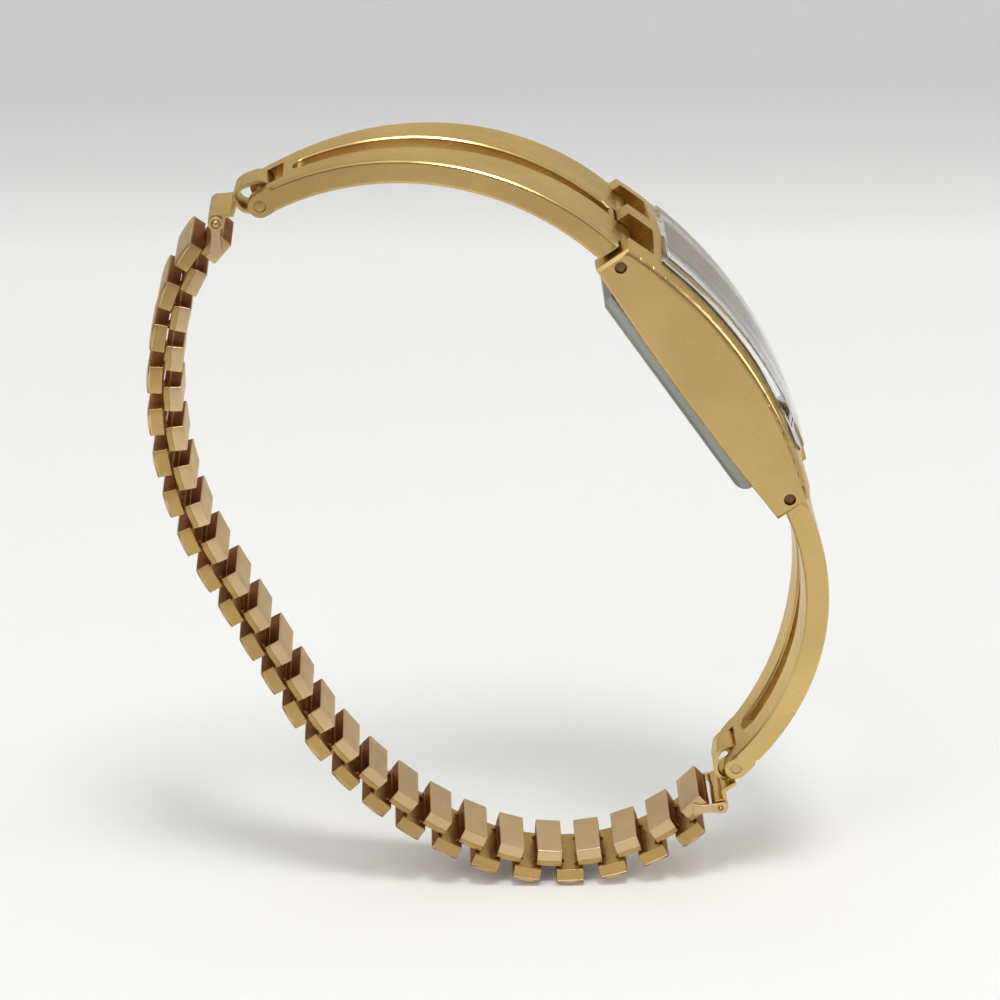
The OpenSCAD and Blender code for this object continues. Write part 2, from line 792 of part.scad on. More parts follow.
// Plan of the full width, tapered from the case to the band
module arm_plan(l) {
    translate([0, 0, -40]) linear_extrude(80) polygon([
        [-3, -arm_w / 2], [0.8, -arm_w / 2], [l, -arm_w_end / 2], [l + 3, -arm_w_end / 2],
        [l + 3, arm_w_end / 2], [l, arm_w_end / 2], [0.8, arm_w / 2], [-3, arm_w / 2]]);
}

module arm_slot(l, turn) {
    x1 = l - fork_reach - fork_bridge;
    xm = l * 0.55;
    intersection() {
        translate([0, 0, -40]) linear_extrude(80) polygon([
            [-3, -slot_w / 2], [xm, -slot_w_mid / 2], [x1 - 0.5, -slot_w_end / 2],
            [x1, 0.5 - slot_w_end / 2], [x1, slot_w_end / 2 - 0.5], [x1 - 0.5, slot_w_end / 2],
            [xm, slot_w_mid / 2], [-3, slot_w / 2]]);
        across(arm_w) past(turn, arm_start + slot_rim);
    }
}

module arm_blank(l, turn) {
    intersection() {
        across(arm_w + 1) union() {
            intersection() {
                arm_ring(l);
                past(turn, arm_start);
            }
            translate([l, 0]) circle(ear_r);
        }
        arm_plan(l);
    }
    for (s = [-1, 1]) translate([0, s * (pocket_in + pocket_out) / 2, 0]) across(knuckle_w) {
        difference() {
            arm_ring(l);
            past(turn, arm_start + 0.2);
        }
        circle(knuckle_r);
    }
}

module bangle_arm(l, turn) {
    difference() {
        arm_blank(l, turn);
        arm_slot(l, turn);
        translate([l - fork_reach, -fork_w / 2, -5]) cube([fork_reach, fork_w, 10]);
        translate([l - 0.2, -fork_w / 2, -5]) cube([5, fork_w, 10]);
        rod(lug_pin_d + 2 * fit, 40);
        translate([l, 0, 0]) rod(arm_pin_d + 2 * seat, 40);
    }
}

// Places children in the frame of one arm; the 6 o'clock arm is a mirror image
module arm_frame(side) {
    if (side == 12) at(lug_12, arm_12_angle) mirror([0, 0, 1]) children();
    if (side == 6) at(lug_6, arm_6_angle) children();
}

module arm_pin(l) {
    translate([l, 0, 0]) rod(arm_pin_d, arm_w_end - 0.1);
}

module arm_12() {
    color("goldenrod") arm_frame(12) bangle_arm(arm_12_l, arm_12_turn);
}

module arm_6() {
    color("goldenrod") arm_frame(6) bangle_arm(arm_6_l, arm_6_turn);
}

module pin_12() {
    color("silver") arm_frame(12) arm_pin(arm_12_l);
}

module pin_6() {
    color("silver") arm_frame(6) arm_pin(arm_6_l);
}

// Connectors
// Frame of a connector: origin on the arm pin where it bears on the inner side of the
// loop, X to the link pin, Z outward. At 6 o'clock the arm pin bears on the outer side.

module loop_shape(r) {
    translate([0, loop_lift]) circle(r);
    translate([loop_run, loop_lift]) circle(r);
    translate([0, loop_lift - r]) square([loop_run, 2 * r]);
}

// A length of sheet seen from the side, with a round bend at its far end
module strip(a, b) {
    d = b - a;
    translate(a) rotate(atan2(d[1], d[0])) translate([0, -sheet_t / 2]) square([norm(d), sheet_t]);
    translate(b) circle(sheet_t * 0.54);
}

// Step down from the loop and up again to the curl
module tail_side() {
    top = [loop_run, loop_lift] + (loop_r + sheet_t * 0.3) * dir(36);
    low = [2.2, 0.08];
    far = [connector_l, 0] + (curl_r + sheet_t / 2) * dir(112);
    translate([connector_l, 0]) circle(curl_out, $fn = 64);
    strip(top, low);
    strip(low, far);
}

module connector() {
    difference() {
        union() {
            across(connector_w) loop_shape(loop_r + sheet_t);
            across(curl_w) tail_side();
        }
        across(40) loop_shape(loop_r);
        translate([connector_l, 0, 0]) rod(2 * curl_r, 40);
    }
}

module connector_12() {
    color("goldenrod") connector_frame(12) connector();
}

module connector_6() {
    color("goldenrod") connector_frame(6) connector();
}

module connector_frame(side) {
    if (side == 12) at(joint_12, connector_12_angle) mirror([0, 0, 1]) children();
    if (side == 6) at(loop_6, connector_6_angle) children();
}

// Stretch band

// Puts children at half link k, shifted across the rows
module at_half(k, off) {
    at(mid_at(k) + off * quarter(dir(heading(k))), heading(k)) children();
}

// A hollow box of folded sheet with both ends closed
module box_shell(l, t, w) {
    difference() {
        cube([l, w, t], center = true);
        cube([l - 2 * box_wall, w - 2 * box_wall, t - 2 * box_wall], center = true);
    }
}

// Bowed leaf spring that lies inside a box
module leaf(l, t, w) {
    room = t - 2 * box_wall + 0.02;
    bow = room - leaf_t;
    r = (w * w / 4 + bow * bow) / (2 * bow);
    translate([0, 0, room / 2 - r]) intersection() {
        rotate([0, 90, 0]) difference() {
            cylinder(r = r, h = l, center = true, $fn = 96);
            cylinder(r = r - leaf_t, h = l + 1, center = true, $fn = 96);
        }
        translate([-l, -w / 2, 0]) cube([2 * l, w, 2 * r]);
    }
}

fixed_y = inner_w / 2 - box_wall - 0.2 - clip_t / 2;
loose_y = fixed_y - clip_t - 0.35;
leaf_w = 2 * loose_y - 0.5;

function outer_c(k) = mid_at(k) + outer_off * quarter(dir(heading(k)));
function inner_c(k) = mid_at(k) + inner_off * quarter(dir(heading(k)));

// Clip bars between half links a and b, at one distance from the middle
module clips(pa, pb, y, w, t) {
    for (s = [-1, 1]) translate([0, s * y, 0]) bar(pa, pb, w, t);
}

// Windows for clip bars that reach from a box at pa into the box at pb
module clip_ways(pa, pb, y, room) {
    d = (pb - pa) / norm(pb - pa);
    clips(pa, pb + 0.2 * d, y, clip_w + 2 * room, clip_t + 0.16);
}

module outer_box(k) {
    difference() {
        at_half(k, outer_off) box_shell(outer_l, outer_t, outer_w);
        difference() {
            clip_ways(inner_c(k - 1), outer_c(k), loose_y, slide_room);
            at_half(k, outer_off - outer_t / 2) cube([9, 9, 2 * box_wall], center = true);
        }
    }
}

module inner_box(k) {
    at_half(k, inner_off) box_shell(inner_l, inner_t, inner_w);
}

module link(i) {
    k = 2 * i - 1;
    last = i == link_count;
    color("goldenrod") {
        outer_box(k);
        if (!last) inner_box(k + 1);
    }
    color("sienna") {
        clips(outer_c(k), inner_c(k + 1), fixed_y, clip_w, clip_t);
        if (!last) clips(inner_c(k + 1), outer_c(k + 2), loose_y, clip_w, clip_t);
    }
    color("silver") {
        at_half(k, outer_off) leaf(outer_l - 0.6, outer_t, leaf_w);
        if (!last) at_half(k + 1, inner_off) leaf(inner_l - 0.6, inner_t, leaf_w);
    }
}

// Side brackets that carry a link pin beside the end box
module brackets(pin, box_c, angle) {
    for (s = [-1, 1]) translate([0, s * bracket_y, 0]) {
        bar(pin, box_c, 0.8, bracket_t);
        at(pin, 0) rod(1.1, bracket_t);
        at(box_c, angle) cube([inner_l * 0.8, bracket_t, inner_t * 0.8], center = true);
    }
}
bracket_t = 0.2;
bracket_y = inner_w / 2 + bracket_t / 2 - 0.02;

module end_link_12() {
    color("goldenrod") {
        inner_box(0);
        brackets(link_pin_12, inner_c(0), heading(0));
    }
    color("sienna") clips(inner_c(0), outer_c(1), loose_y, clip_w, clip_t);
    color("silver") {
        at(link_pin_12, 0) rod(link_pin_12_d, 2 * bracket_y);
        at_half(0, inner_off) leaf(inner_l - 0.6, inner_t, leaf_w);
    }
}

module end_link_6() {
    color("goldenrod") {
        difference() {
            inner_box(half_n);
            difference() {
                clip_ways(outer_c(half_n - 1), inner_c(half_n), fixed_y, 0.06);
                at_half(half_n, inner_off + inner_t / 2)
                    cube([9, 9, 2 * box_wall], center = true);
            }
        }
        brackets(link_pin_6, inner_c(half_n), heading(half_n));
    }
    color("silver") {
        at(link_pin_6, 0) rod(link_pin_6_d, 2 * bracket_y);
        at_half(half_n, inner_off) leaf(inner_l - 0.6, inner_t, leaf_w);
    }
}

// Draw

case_body();
crystal();
crystal_gasket();
dial();
hour_markers();
movement_ring();
main_plate();
train_bridge();
battery_cell();
battery_strap();
drive_coil();
stator();
rotor();
circuit_board();
case_back();
back_gasket();
crown_tube();
lug_pin(-1);  // lug_pin_12
lug_pin(1);  // lug_pin_6
minute_hand();
cannon_pinion();
minute_wheel();
hour_hand();
hour_wheel();
pull_piece();
crown();
stem();
crown_gasket();
arm_12();  // bangle_arm_12
pin_12();  // arm_pin_12
arm_6();  // bangle_arm_6
pin_6();  // arm_pin_6
connector_12();
connector_6();
end_link_12();
end_link_6();
for (i = [1 : link_count])
    link(i);
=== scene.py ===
# %% [markdown]
# # A gold tone bangle watch on an expansion band
# The watch is a closed loop: a long crowned case, two slotted arms hinged to it, and
# a band of small boxes that slide apart on springs. The exact solids come from a CAD
# frame. This lesson dresses them: it rounds the sharp edges of the machined pieces,
# swaps the plain boxes of the band for pressed ones, and builds the finishes.

# %% Load the frame
import json

import bpy
import numpy as np
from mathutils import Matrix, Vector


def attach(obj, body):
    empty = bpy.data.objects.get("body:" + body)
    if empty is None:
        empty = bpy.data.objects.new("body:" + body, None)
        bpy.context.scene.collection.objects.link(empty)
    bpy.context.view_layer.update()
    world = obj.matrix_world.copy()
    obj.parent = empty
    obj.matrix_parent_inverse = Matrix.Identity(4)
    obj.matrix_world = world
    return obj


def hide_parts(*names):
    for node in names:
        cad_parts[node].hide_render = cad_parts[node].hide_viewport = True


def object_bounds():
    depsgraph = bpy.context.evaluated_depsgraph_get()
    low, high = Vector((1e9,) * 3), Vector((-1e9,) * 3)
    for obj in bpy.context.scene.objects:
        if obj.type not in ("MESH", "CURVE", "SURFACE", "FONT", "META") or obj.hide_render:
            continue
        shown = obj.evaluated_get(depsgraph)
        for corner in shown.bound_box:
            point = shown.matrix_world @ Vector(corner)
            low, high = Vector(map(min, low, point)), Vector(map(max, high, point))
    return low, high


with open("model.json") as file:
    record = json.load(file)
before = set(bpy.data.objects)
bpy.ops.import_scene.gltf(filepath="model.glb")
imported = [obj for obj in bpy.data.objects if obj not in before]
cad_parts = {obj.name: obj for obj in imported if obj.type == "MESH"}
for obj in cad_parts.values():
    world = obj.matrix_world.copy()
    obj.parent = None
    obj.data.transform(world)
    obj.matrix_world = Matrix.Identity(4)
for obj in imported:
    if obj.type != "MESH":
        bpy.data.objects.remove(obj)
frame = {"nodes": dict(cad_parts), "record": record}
nodes = frame["nodes"]
joints = {j["name"]: j for j in frame["record"]["behaviour"]["joints"]}
cad_low, cad_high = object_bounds()

# %% [markdown]
# ## Camera
# A product photograph like this one is taken with a long lens from a little above,
# so parallel edges stay nearly parallel. The camera's axes are given as three unit
# vectors, which is easier to match to a photograph than three angles.

# %% Camera
from mathutils import Matrix, Vector

side = Vector((0.9997, -0.0241, 0.0))
up = Vector((0.00901, 0.3739, 0.9275))
ahead = Vector((0.02235, 0.9272, -0.3740))
turn = Matrix((side, up, -ahead)).transposed().to_4x4()
stand = Vector((-0.005995, -0.28003, 0.11295))
camera = bpy.data.objects.new("camera", bpy.data.cameras.new("camera"))
camera.data.lens = 144
camera.data.sensor_width = 36
camera.data.clip_start = 0.02
camera.matrix_world = Matrix.Translation(stand) @ turn
bpy.context.collection.objects.link(camera)
bpy.context.scene.camera = camera
bpy.context.scene.view_settings.view_transform = "Standard"
print("camera looks down by", round(float(np.degrees(np.arcsin(-ahead.z))), 1), "degrees")

# %% [markdown]
# ## A small kit for finishes
# A finish is a node tree. Each one here starts from Object coordinates in metres, so
# a scale of 1000 makes marks about a millimetre across. The helpers only shorten the
# typing: one adds a node, one joins two sockets, one makes noise, one remaps it.

# %% Node helpers
class Finish:
    """A material with its shader ready and short calls to add nodes to it."""

    def __init__(self, name):
        self.material = bpy.data.materials.new(name)
        self.material.use_nodes = True
        self.tree = self.material.node_tree
        self.shader = self.tree.nodes["Principled BSDF"]
        self.place = self.add("ShaderNodeTexCoord").outputs["Object"]

    def add(self, kind, **sockets):
        node = self.tree.nodes.new(kind)
        for key, value in sockets.items():
            node.inputs[key].default_value = value
        return node

    def join(self, a, b):
        self.tree.links.new(a, b)

    def stretched(self, scale):
        node = self.add("ShaderNodeMapping", Scale=scale)
        self.join(self.place, node.inputs["Vector"])
        return node.outputs["Vector"]

    def noise(self, scale, detail=3.0, vector=None):
        node = self.add("ShaderNodeTexNoise", Scale=scale, Detail=detail)
        self.join(vector or self.place, node.inputs["Vector"])
        return node.outputs["Fac"]

    def cells(self, scale):
        node = self.add("ShaderNodeTexVoronoi", Scale=scale)
        self.join(self.place, node.inputs["Vector"])
        return node.outputs["Distance"]

    def remap(self, value, low, high, to_low, to_high):
        node = self.add("ShaderNodeMapRange")
        self.join(value, node.inputs["Value"])
        for socket, v in zip(("From Min", "From Max", "To Min", "To Max"), (low, high, to_low, to_high)):
            node.inputs[socket].default_value = v
        return node.outputs["Result"]

    def blend(self, factor, a, b):
        """Mixes two colours. A Mix node keeps them in inputs 6 and 7, and gives output 2."""
        node = self.tree.nodes.new("ShaderNodeMix")
        node.data_type = "RGBA"
        self.join(factor, node.inputs["Factor"])
        for socket, value in ((node.inputs[6], a), (node.inputs[7], b)):
            if isinstance(value, tuple):
                socket.default_value = (*value, 1)
            else:
                self.join(value, socket)
        return node.outputs[2]

    def bump(self, height, depth):
        node = self.add("ShaderNodeBump", Strength=1.0, Distance=depth)
        self.join(height, node.inputs["Height"])
        self.join(node.outputs["Normal"], self.shader.inputs["Normal"])

    def set(self, **sockets):
        for key, value in sockets.items():
            self.shader.inputs[key.replace("_", " ")].default_value = value


def metal(name, colour, tint, rough, grain=(500, 500, 500), depth=2e-6, spots=0.0):
    """Metal whose colour drifts between two tones, with fine rubbed marks that vary
    its roughness and surface, and a few dark wear spots."""
    f = Finish(name)
    f.set(Metallic=1.0, Specular_Tint=(*(c ** 0.3 for c in colour), 1))
    drift = f.remap(f.noise(130), 0.35, 0.65, 0.0, 1.0)
    shade = f.blend(drift, colour, tint)
    broad = f.remap(f.noise(50, 1.0), 0.4, 0.62, 0.0, 0.55)
    shade = f.blend(broad, shade, tuple(0.8 * c for c in tint))
    if spots:
        dark = f.remap(f.cells(spots), 0.035, 0.06, 1.0, 0.0)
        shade = f.blend(dark, shade, tuple(0.3 * c for c in tint))
    f.join(shade, f.shader.inputs["Base Color"])
    marks = f.noise(1.0, 4.0, f.stretched(grain))
    f.join(f.remap(marks, 0.3, 0.7, rough * 0.8, rough * 1.3), f.shader.inputs["Roughness"])
    f.bump(marks, depth)
    return f.material


print("finish kit ready")

# %% [markdown]
# ## The finishes of the real pieces
# The whole watch is plated in one warm gold, but it never looks like one colour. The
# long side of the case is satin with a fine lengthwise grain, the arms are rubbed
# smooth, and the outsides of the band boxes are paler. The walls that face another box,
# the clip bars and the sleeves of the end pins get a dark brown gold, which is painted
# shade: little light comes in there.

# %% Metals
finishes = {
    "gold_tone": metal("plated_gold", (0.73, 0.52, 0.21), (0.63, 0.43, 0.17), 0.24,
                       (300, 900, 300), 1.5e-6, 150),
    "gold_boxes": metal("box_gold", (0.56, 0.36, 0.14), (0.48, 0.30, 0.115), 0.3,
                        (700, 700, 700), 3e-6),
    # The pins are a dark brown: painted shade of the deep holes that the lug pins sit in
    "pins": metal("pin_painted_shade", (0.26, 0.15, 0.08), (0.18, 0.10, 0.05), 0.3),
    "bright_gold": metal("hand_gold", (0.88, 0.66, 0.28), (0.82, 0.6, 0.25), 0.18),
    "wheels": metal("wheel_brass", (0.80, 0.58, 0.22), (0.7, 0.5, 0.2), 0.3),
    "plates": metal("plate_metal", (0.62, 0.61, 0.58), (0.52, 0.51, 0.49), 0.35, (200, 3000, 200)),
    "cell": metal("cell_shell", (0.68, 0.68, 0.67), (0.58, 0.58, 0.57), 0.25),
    "steel": metal("bright_steel", (0.6, 0.6, 0.58), (0.5, 0.5, 0.48), 0.28),
    "stator": metal("soft_iron", (0.36, 0.36, 0.35), (0.28, 0.28, 0.27), 0.5),
    "magnet": metal("magnet", (0.2, 0.2, 0.2), (0.12, 0.12, 0.12), 0.45),
    "back_steel": metal("back_steel", (0.38, 0.38, 0.35), (0.31, 0.31, 0.285), 0.3,
                        (250, 2600, 250), 2e-6),
}
finishes["cap_gold"] = metal("cap_gold", (0.72, 0.53, 0.30), (0.64, 0.46, 0.25), 0.34,
                             (600, 600, 600), 3e-6)
# A dark brown gold that paints the shade on walls facing another box, on clip bars and on pin sleeves, where
# little light comes in
finishes["wall_gold"] = metal("wall_gold", (0.36, 0.165, 0.075), (0.25, 0.105, 0.05), 0.4,
                              (600, 600, 600), 3e-6)
finishes["pin_gold"] = metal("pin_gold", (0.66, 0.46, 0.20), (0.56, 0.38, 0.16), 0.3)
print(len(finishes), "metals")

# %% [markdown]
# The other finishes are a clear crystal, pale soft gaskets, a pale lacquered dial
# with a fine brushed sheen, a moulded spacer, a varnished coil of thin wire and a
# green board. The coil gets its turns from a wave along its own length.

# %% Other finishes
def plain(name, colour, tint, rough, scale=900, depth=2e-6, **sockets):
    """A non metal with a slow colour drift and a fine surface."""
    f = Finish(name)
    f.join(f.blend(f.noise(scale / 6), colour, tint), f.shader.inputs["Base Color"])
    f.join(f.remap(f.noise(scale), 0.3, 0.7, rough * 0.85, rough * 1.15), f.shader.inputs["Roughness"])
    f.bump(f.noise(scale * 2), depth)
    f.set(**sockets)
    return f


finishes["gasket"] = plain("gasket_ring", (0.74, 0.73, 0.70), (0.66, 0.65, 0.62), 0.6).material
finishes["spacer"] = plain("spacer_plastic", (0.75, 0.73, 0.66), (0.68, 0.66, 0.6), 0.45).material
finishes["board"] = plain("board_green", (0.03, 0.13, 0.05), (0.02, 0.09, 0.04), 0.35).material

dial = plain("dial_lacquer", (0.62, 0.62, 0.6), (0.56, 0.56, 0.55), 0.35, 1500, 1e-6, Metallic=0.35)
streaks = dial.noise(1.0, 2.0, dial.stretched((300, 6000, 300)))
dial.join(dial.blend(streaks, (0.56, 0.56, 0.55), (0.7, 0.7, 0.68)), dial.shader.inputs["Base Color"])
finishes["dial"] = dial.material

coil = plain("coil_wire", (0.32, 0.09, 0.03), (0.24, 0.06, 0.02), 0.3)
turns_of_wire = coil.add("ShaderNodeTexWave", Scale=3000.0)
coil.join(coil.place, turns_of_wire.inputs["Vector"])
coil.bump(turns_of_wire.outputs["Fac"], 2e-5)
finishes["coil"] = coil.material

crystal = Finish("clear_crystal")
crystal.set(Base_Color=(0.82, 0.81, 0.83, 1), Transmission_Weight=1.0, IOR=1.08, Coat_Weight=0.5,
            Coat_Roughness=0.04)
crystal.join(crystal.remap(crystal.noise(400), 0.3, 0.7, 0.01, 0.04), crystal.shader.inputs["Roughness"])
finishes["crystal"] = crystal.material
print(len(finishes), "finishes so far")

# %% [markdown]
# ## Edges of the machined pieces
# A real edge is never perfectly sharp. It carries a thin bright line where it was
# tumbled and polished. A Bevel modifier makes that line. The loose triangles of a
# CAD mesh are first welded, or the bevel would find no shared edges, and a small
# Geometry Nodes group then smooths every face but keeps the real corners. A face
# bends into the next one at a corner when the angle between them is larger than
# about 23 degrees for smoothing, and about 40 degrees for rounding.

# %% Smooth by angle
def corner_group(angle):
    """Smooths all faces and marks as sharp each edge that bends more than an angle.
    Then it holds every point inside the box of the CAD model."""
    group = bpy.data.node_groups.new("keep_corners", "GeometryNodeTree")
    for way in ("INPUT", "OUTPUT"):
        group.interface.new_socket("Geometry", in_out=way, socket_type="NodeSocketGeometry")
    n = group.nodes
    first, last = n.new("NodeGroupInput"), n.new("NodeGroupOutput")
    faces, edges = n.new("GeometryNodeSetShadeSmooth"), n.new("GeometryNodeSetShadeSmooth")
    bend, more = n.new("GeometryNodeInputMeshEdgeAngle"), n.new("FunctionNodeCompare")
    faces.domain, edges.domain = "FACE", "EDGE"
    edges.inputs["Shade Smooth"].default_value = False
    more.operation = "GREATER_THAN"
    more.inputs["B"].default_value = angle
    link = group.links.new
    link(first.outputs[0], faces.inputs[0])
    link(faces.outputs[0], edges.inputs[0])
    link(bend.outputs["Unsigned Angle"], more.inputs["A"])
    link(more.outputs[0], edges.inputs["Selection"])
    limits = n.new("GeometryNodeInputPosition").outputs[0]
    for operation, corner in (("MAXIMUM", cad_low), ("MINIMUM", cad_high)):
        limit = n.new("ShaderNodeVectorMath")
        limit.operation = operation
        limit.inputs[1].default_value = corner
        link(limits, limit.inputs[0])
        limits = limit.outputs[0]
    held = n.new("GeometryNodeSetPosition")
    link(limits, held.inputs["Position"])
    link(edges.outputs[0], held.inputs[0])
    link(held.outputs[0], last.inputs[0])
    return group


SMOOTH_BELOW, CORNER = 0.4, 0.7
keep_corners = corner_group(SMOOTH_BELOW)
print("smooth below", round(float(np.degrees(SMOOTH_BELOW))), "degrees, corner above",
      round(float(np.degrees(CORNER))))

# %% [markdown]
# ## Rounding
# The small pieces are rounded at every corner, and the modifier's own overlap guard
# keeps that safe. The guard makes all rounding on a piece as small as its tightest
# spot allows, which is too small to see on the case and the arms. There the long
# edges are chosen by a second node group, which writes a bevel weight, and the guard
# is off. The crowded places around the pins are left sharp.

# %% Rounding
TOUCHING, NEAR = 1e-6, 5e-5
FLAT = 0.009


def soften(obj, width, chosen=None):
    """Welds the triangles, rounds the corners by width in metres, smooths the rest.
    Large faces keep their own direction, so only the rounded strips catch the light.
    With a group of chosen edges, points closer than 0.05 mm become one, the flat
    triangles are joined, and only those edges are rounded, by the full width."""
    weld = obj.modifiers.new("weld", "WELD")
    weld.merge_threshold = NEAR if chosen else TOUCHING
    if chosen:
        join = obj.modifiers.new("join flats", "DECIMATE")
        join.decimate_type = "DISSOLVE"
        join.angle_limit = FLAT
        obj.modifiers.new("choose", "NODES").node_group = chosen
    if width:
        bevel = obj.modifiers.new("edge", "BEVEL")
        bevel.width = width
        bevel.segments = 3
        bevel.limit_method = "WEIGHT" if chosen else "ANGLE"
        bevel.angle_limit = CORNER
        bevel.use_clamp_overlap = not chosen
    corners = obj.modifiers.new("corners", "NODES")
    corners.node_group = keep_corners
    if width and obj.name != "crystal":
        flat = obj.modifiers.new("flat faces", "WEIGHTED_NORMAL")
        flat.keep_sharp = True


print("flat triangles are joined below", round(float(np.degrees(FLAT)), 1), "degrees")


# %% Chosen edges
def chosen_edges(name, side, quiet):
    """Gives a bevel weight of one to each edge that bends like a corner and lies
    further than side from the middle plane. An edge stays sharp in a quiet place,
    which is a point, a radius about it, and how far out from the plane it counts."""
    group = bpy.data.node_groups.new(name, "GeometryNodeTree")
    for way in ("INPUT", "OUTPUT"):
        group.interface.new_socket("Geometry", in_out=way, socket_type="NodeSocketGeometry")
    n, link = group.nodes, group.links.new
    first, last = n.new("NodeGroupInput"), n.new("NodeGroupOutput")

    def math(operation, a, b=0.0):
        node = n.new("ShaderNodeMath")
        node.operation = operation
        for socket, value in zip(node.inputs, (a, b)):
            if isinstance(value, float):
                socket.default_value = value
            else:
                link(value, socket)
        return node.outputs[0]

    def vector(operation, a, b):
        node = n.new("ShaderNodeVectorMath")
        node.operation = operation
        link(a, node.inputs[0])
        node.inputs[1].default_value = b
        return node.outputs["Value" if operation == "DISTANCE" else "Vector"]

    place = n.new("GeometryNodeInputPosition").outputs[0]
    split_place = n.new("ShaderNodeSeparateXYZ")
    link(place, split_place.inputs[0])
    out = math("ABSOLUTE", split_place.outputs["Y"])
    flat_place = vector("MULTIPLY", place, (1, 0, 1))
    bend = n.new("GeometryNodeInputMeshEdgeAngle").outputs["Unsigned Angle"]
    keep = math("MULTIPLY", math("GREATER_THAN", bend, CORNER), math("GREATER_THAN", out, side))
    for point, radius, reach in quiet:
        away = math("GREATER_THAN", vector("DISTANCE", flat_place, (point[0], 0, point[2])), radius)
        keep = math("MULTIPLY", keep, math("MAXIMUM", away, math("GREATER_THAN", out, reach)))
    store = n.new("GeometryNodeStoreNamedAttribute")
    store.data_type, store.domain = "FLOAT", "EDGE"
    store.inputs["Name"].default_value = "bevel_weight_edge"
    link(first.outputs[0], store.inputs["Geometry"])
    link(keep, store.inputs["Value"])
    link(store.outputs[0], last.inputs[0])
    return group


lug_12, lug_6 = joints["bangle_open"]["pos_m"], joints["arm_6_swing"]["pos_m"]
hinge_12, hinge_6 = joints["connector_12_swing"]["pos_m"], joints["connector_6_swing"]["pos_m"]
case_corner = (0.01005, 0.0, 0.02255)
CASE_SIDE, ALL_OVER = 0.00859, 0.0
CASE_PIN, CASE_CORNER, ARM_PIN, ARM_FORK, ARM_LUG = 9e-4, 3e-4, 6e-4, 2.6e-3, 1.4e-3
ANY, FORK = 1.0, 3.2e-3
chosen = {"case_body": chosen_edges("case rim", CASE_SIDE, [
    (lug_12, CASE_PIN, ANY), (lug_6, CASE_PIN, ANY), (case_corner, CASE_CORNER, ANY)])}
for name, hinge, lug in (("bangle_arm_12", hinge_12, lug_12), ("bangle_arm_6", hinge_6, lug_6)):
    chosen[name] = chosen_edges(name + " edges", ALL_OVER, [
        (hinge, ARM_PIN, ANY), (hinge, ARM_FORK, FORK), (lug, ARM_LUG, ANY)])
print("edges are chosen on", ", ".join(chosen))

# %% Soften the pieces
edge_width = {"case_body": 2.2e-4, "bangle_arm_12": 2.7e-4, "bangle_arm_6": 2.7e-4,
              "connector_12": 5e-5, "connector_6": 5e-5, "crown": 5e-5, "case_back": 8e-5,
              "lug_pin_12": 8e-5, "lug_pin_6": 8e-5, "arm_pin_12": 1e-4, "arm_pin_6": 1e-4,
              "crystal": 6e-5}
slots = {s["node"]: s["material_slot"] for s in frame["record"]["subparts"]}
for name, obj in nodes.items():
    obj.data.materials.clear()
    obj.data.materials.append(finishes["pin_gold" if name.startswith("arm_pin") else slots[name]])
    if not name.startswith(("link_", "end_link")):
        soften(obj, edge_width.get(name, 0.0), chosen.get(name))
print("rounded", len(edge_width), "pieces and smoothed the others")

# %% [markdown]
# ## The curve of the band
# The band is a chain of half steps. At each half step the direction turns by a known
# angle, and a half step runs along the mean of the directions at its two ends. The
# stretch joints of the frame give exact points of the same chain, so the new pieces
# take their places from those joints and only the directions are worked out here.

# %% Places and directions
COUNT = 24
# Degrees per half step: tight at both ends of the band, and none in its middle
bend = np.zeros(2 * COUNT)
bend[0:4], bend[4:17], bend[25:37], bend[37:] = 7.09, 3.21, 3.29, 6.02
turned = np.concatenate([[0.0], np.cumsum(bend)])
axes = np.array([joints["stretch_%02d" % i]["axis"] for i in range(1, COUNT + 1)])
odd_points = np.array([joints["stretch_%02d" % i]["pos_m"] for i in range(1, COUNT + 1)])
start_angle = np.degrees(np.arctan2(axes[0][2], axes[0][0])) - turned[1] / 2
heading = start_angle + turned


def unit(angle):
    """The direction in the XZ plane at an angle in degrees from X."""
    a = np.radians(angle)
    return np.stack([np.cos(a), 0 * a, np.sin(a)], -1)


half_steps = unit((heading[:-1] + heading[1:]) / 2)
ahead_gap = (odd_points[1] - odd_points[0]) @ (half_steps[1] + half_steps[2])
half = ahead_gap / ((half_steps[1] + half_steps[2]) @ (half_steps[1] + half_steps[2]))
middle = np.zeros((2 * COUNT + 1, 3))
middle[1::2] = odd_points
middle[0] = odd_points[0] - half * half_steps[0]
middle[2::2] = odd_points + half * half_steps[1::2]
print("half step", round(float(half) * 1000, 3), "mm, first direction", round(float(start_angle), 2))

# %% [markdown]
# ## Boxes of the band
# Each box of an expansion band is a folded strip. The outer one is closed by a cap
# with a slight crown across it, whose rim stands proud of the ends by a hair. The
# inner one is closed by a thin lid on the side of the outer row. One surface makes
# them all: a cube whose surface is pulled in to a rounded box.

